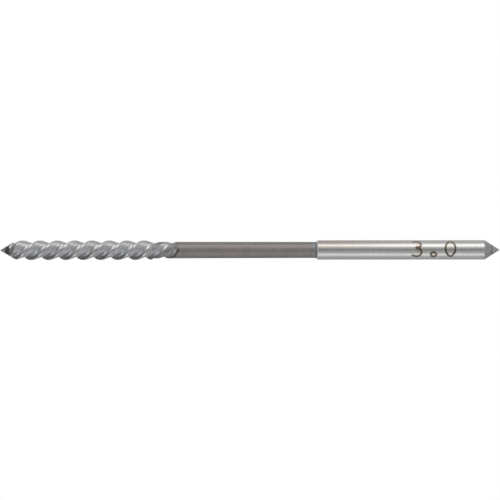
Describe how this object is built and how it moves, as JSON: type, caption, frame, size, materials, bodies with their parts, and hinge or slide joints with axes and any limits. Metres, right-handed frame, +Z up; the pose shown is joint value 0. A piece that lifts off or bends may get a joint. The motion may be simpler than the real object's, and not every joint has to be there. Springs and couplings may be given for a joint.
{
  "type": "spiral flute reamer",
  "caption": "Slim straight-shank machine reamer with left-hand spiral flutes, a relieved neck and a pointed male centre at each end.",
  "frame": {"origin": "on the tool's axis, halfway along the ground cylindrical shank", "axes": "+X along the axis from the cutting end to the back end, +Z up, -Y towards the viewer of the picture"},
  "size_m": [0.077, 0.003, 0.003],
  "materials": {
    "ground_steel": "ground high speed steel: bright shank, satin flutes, dull grey neck and centres, dark front point"
  },
  "bodies": {
    "root": {"reamer": "ground_steel"}
  },
  "joints": []
}
